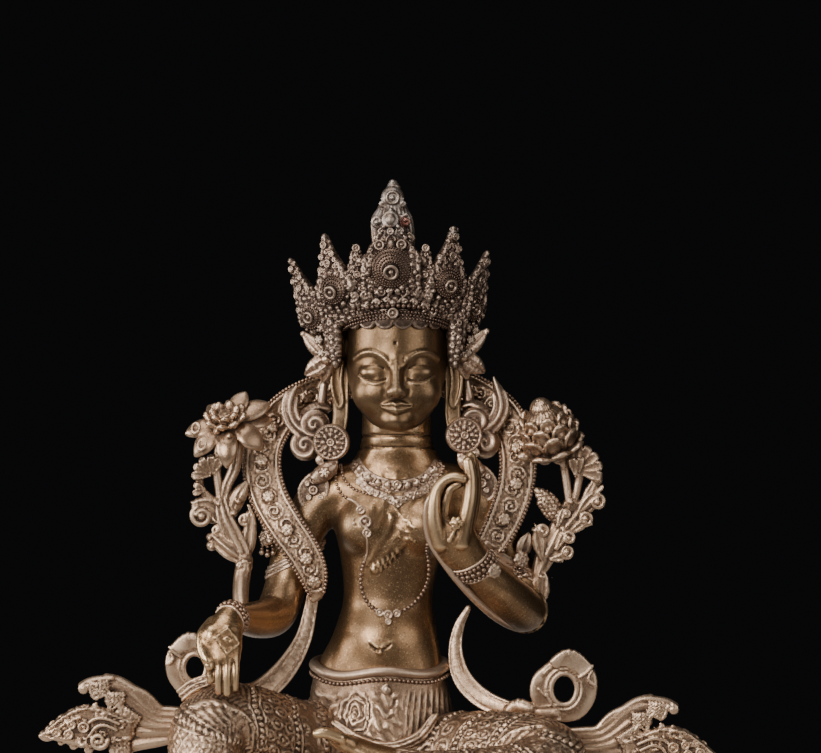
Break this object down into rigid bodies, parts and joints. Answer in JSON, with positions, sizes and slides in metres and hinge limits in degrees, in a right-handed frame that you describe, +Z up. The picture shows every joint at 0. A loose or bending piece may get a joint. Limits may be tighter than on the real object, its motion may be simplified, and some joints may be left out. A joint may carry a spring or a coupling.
{
  "type": "seated tara figure",
  "caption": "Seated Tara in cast bronze with a leafed crown, right hand open over the knee, left hand raised with a lotus stem, fluttering scarves and an oval lotus pedestal.",
  "frame": {"origin": "middle of the oval pedestal's underside, under the figure's spine", "axes": "+Z up, +X to the viewer's right (the figure's left), and the figure faces -Y"},
  "size_m": [0.2814, 0.1586, 0.2996],
  "materials": {
    "aged_bronze": "aged golden-brown bronze, burnished on the high places and dull brown in the recesses",
    "pedestal_bronze": "aged brown bronze"
  },
  "bodies": {
    "root": {"tara_figure": "aged_bronze", "lotus_pedestal": "pedestal_bronze"}
  },
  "joints": []
}
